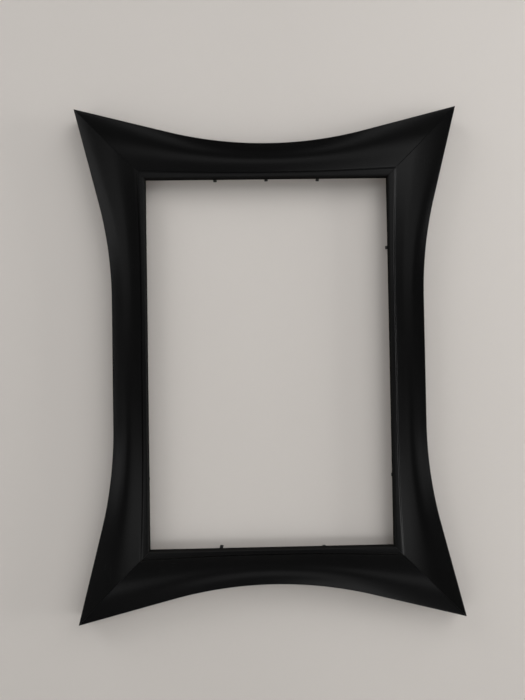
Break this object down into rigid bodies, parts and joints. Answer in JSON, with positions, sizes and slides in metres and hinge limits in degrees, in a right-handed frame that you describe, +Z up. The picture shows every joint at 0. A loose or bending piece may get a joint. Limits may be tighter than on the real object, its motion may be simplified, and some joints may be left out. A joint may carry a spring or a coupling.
{
  "type": "picture frame",
  "caption": "Wall-hung picture frame for a portrait insert: mitred scoop rails sweep out to pointed corner tips; bendable tabs hold the insert, hinged rings hang it.",
  "frame": {"origin": "middle of the frame on the wall's surface, which the bumpers touch", "axes": "+Z up, +X to the viewer's right, the front faces -Y, +Y into the wall"},
  "size_m": [0.5998, 0.034, 0.7998],
  "materials": {
    "satin_black_paint": "satin black paint",
    "nail_steel": "bright",
    "point_steel": "dull grey",
    "zinc_steel": "zinc plated",
    "bumper_rubber": "matte"
  },
  "bodies": {
    "frame": {"top_rail": "satin_black_paint", "bottom_rail": "satin_black_paint", "left_rail": "satin_black_paint", "right_rail": "satin_black_paint", "v_nail_top_left_1": "nail_steel", "v_nail_top_left_2": "nail_steel", "v_nail_top_left_3": "nail_steel", "v_nail_top_right_1": "nail_steel", "v_nail_top_right_2": "nail_steel", "v_nail_top_right_3": "nail_steel", "v_nail_bottom_left_1": "nail_steel", "v_nail_bottom_left_2": "nail_steel", "v_nail_bottom_left_3": "nail_steel", "v_nail_bottom_right_1": "nail_steel", "v_nail_bottom_right_2": "nail_steel", "v_nail_bottom_right_3": "nail_steel", "point_top_left": "point_steel", "point_top_middle": "point_steel", "point_top_right": "point_steel", "point_right_upper": "point_steel", "point_right_lower": "point_steel", "point_bottom_left": "point_steel", "point_bottom_right": "point_steel", "point_left_upper": "point_steel", "point_left_lower": "point_steel", "hanger_left_strap": "zinc_steel", "hanger_left_screw": "zinc_steel", "bumper_left": "bumper_rubber", "hanger_right_strap": "zinc_steel", "hanger_right_screw": "zinc_steel", "bumper_right": "bumper_rubber"},
    "ring_left": {"hanger_left_ring": "zinc_steel"},
    "ring_right": {"hanger_right_ring": "zinc_steel"},
    "point_top_left_tongue_body": {"point_top_left_tongue": "point_steel"},
    "point_top_middle_tongue_body": {"point_top_middle_tongue": "point_steel"},
    "point_top_right_tongue_body": {"point_top_right_tongue": "point_steel"},
    "point_right_upper_tongue_body": {"point_right_upper_tongue": "point_steel"},
    "point_right_lower_tongue_body": {"point_right_lower_tongue": "point_steel"},
    "point_bottom_left_tongue_body": {"point_bottom_left_tongue": "point_steel"},
    "point_bottom_right_tongue_body": {"point_bottom_right_tongue": "point_steel"},
    "point_left_upper_tongue_body": {"point_left_upper_tongue": "point_steel"},
    "point_left_lower_tongue_body": {"point_left_lower_tongue": "point_steel"}
  },
  "joints": [
    {"name": "ring_left_swing", "type": "hinge", "parent": "frame", "child": "ring_left", "pos_m": [-0.22265, -0.0022, 0.2], "axis": [1, 0, 0], "range_deg": [0, 180]},
    {"name": "ring_right_swing", "type": "hinge", "parent": "frame", "child": "ring_right", "pos_m": [0.22265, -0.0022, 0.2], "axis": [1, 0, 0], "range_deg": [0, 180]},
    {"name": "bend_top_left", "type": "hinge", "parent": "frame", "child": "point_top_left_tongue_body", "pos_m": [-0.083, -0.00945, 0.30095], "axis": [1, 0, 0], "range_deg": [-25, 90]},
    {"name": "bend_top_middle", "type": "hinge", "parent": "frame", "child": "point_top_middle_tongue_body", "pos_m": [0, -0.00945, 0.30095], "axis": [1, 0, 0], "range_deg": [-25, 90]},
    {"name": "bend_top_right", "type": "hinge", "parent": "frame", "child": "point_top_right_tongue_body", "pos_m": [0.083, -0.00945, 0.30095], "axis": [1, 0, 0], "range_deg": [-25, 90]},
    {"name": "bend_right_upper", "type": "hinge", "parent": "frame", "child": "point_right_upper_tongue_body", "pos_m": [0.20095, -0.00945, 0.183], "axis": [0, 0, -1], "range_deg": [-25, 90]},
    {"name": "bend_right_lower", "type": "hinge", "parent": "frame", "child": "point_right_lower_tongue_body", "pos_m": [0.20095, -0.00945, -0.183], "axis": [0, 0, -1], "range_deg": [-25, 90]},
    {"name": "bend_bottom_left", "type": "hinge", "parent": "frame", "child": "point_bottom_left_tongue_body", "pos_m": [-0.083, -0.00945, -0.30095], "axis": [-1, 0, 0], "range_deg": [-25, 90]},
    {"name": "bend_bottom_right", "type": "hinge", "parent": "frame", "child": "point_bottom_right_tongue_body", "pos_m": [0.083, -0.00945, -0.30095], "axis": [-1, 0, 0], "range_deg": [-25, 90]},
    {"name": "bend_left_upper", "type": "hinge", "parent": "frame", "child": "point_left_upper_tongue_body", "pos_m": [-0.20095, -0.00945, 0.183], "axis": [0, 0, 1], "range_deg": [-25, 90]},
    {"name": "bend_left_lower", "type": "hinge", "parent": "frame", "child": "point_left_lower_tongue_body", "pos_m": [-0.20095, -0.00945, -0.183], "axis": [0, 0, 1], "range_deg": [-25, 90]}
  ]
}
